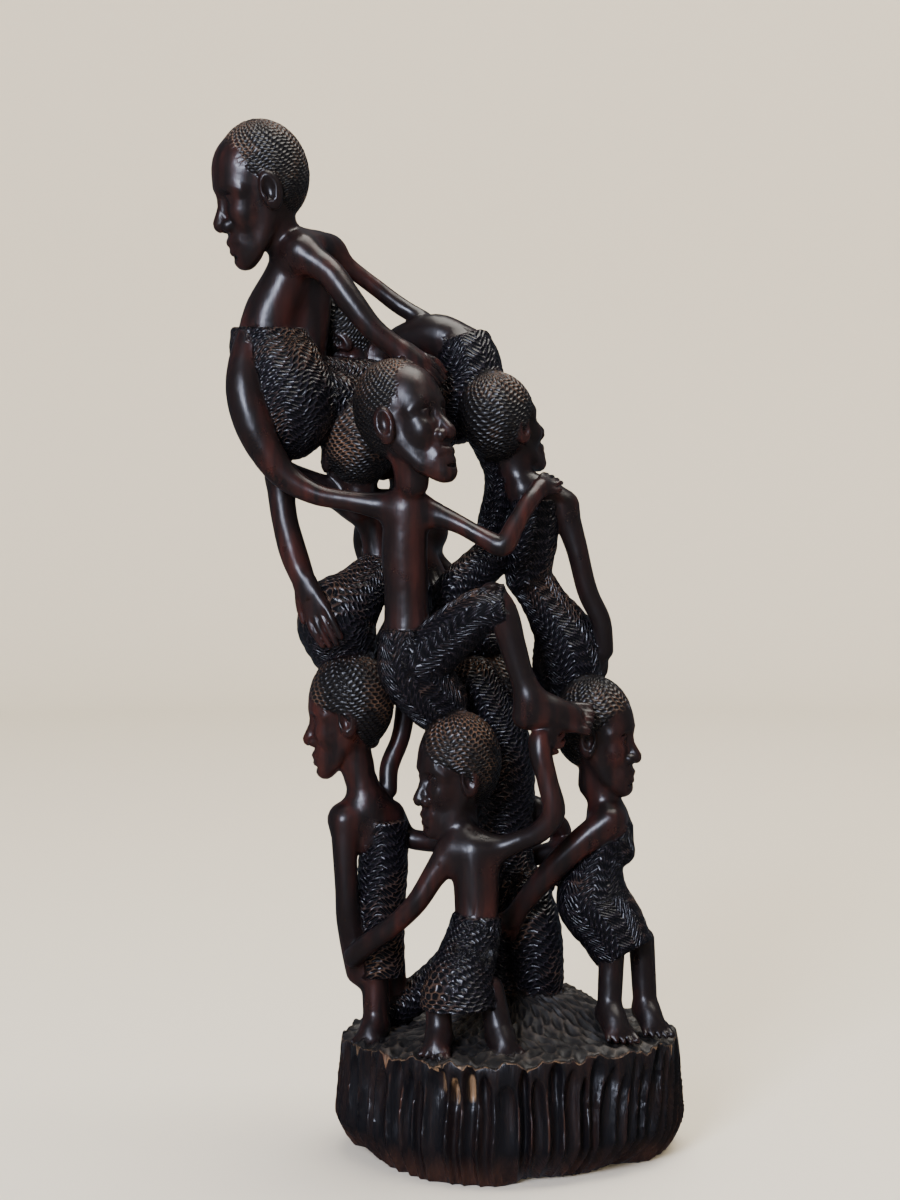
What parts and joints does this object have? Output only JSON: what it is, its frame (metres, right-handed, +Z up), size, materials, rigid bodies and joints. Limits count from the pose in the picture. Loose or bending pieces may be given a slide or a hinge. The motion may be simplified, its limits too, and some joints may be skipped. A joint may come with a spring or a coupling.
{
  "type": "makonde ujamaa carving",
  "caption": "Tall blackwood carving of people standing, sitting and climbing on each other in an open tower over a round base with a gouged side.",
  "frame": {"origin": "middle of the base's flat underside", "axes": "+Z up, -Y towards the carving's front, +X to the right as seen from the front; the tower leans towards -X at the top"},
  "size_m": [0.2754, 0.2028, 0.5988],
  "materials": {
    "blackwood": "very dark brown-black wood, waxed smooth on skin, rough with small gouge chips on cloth, hair and base"
  },
  "bodies": {
    "root": {"carving": "blackwood"}
  },
  "joints": []
}
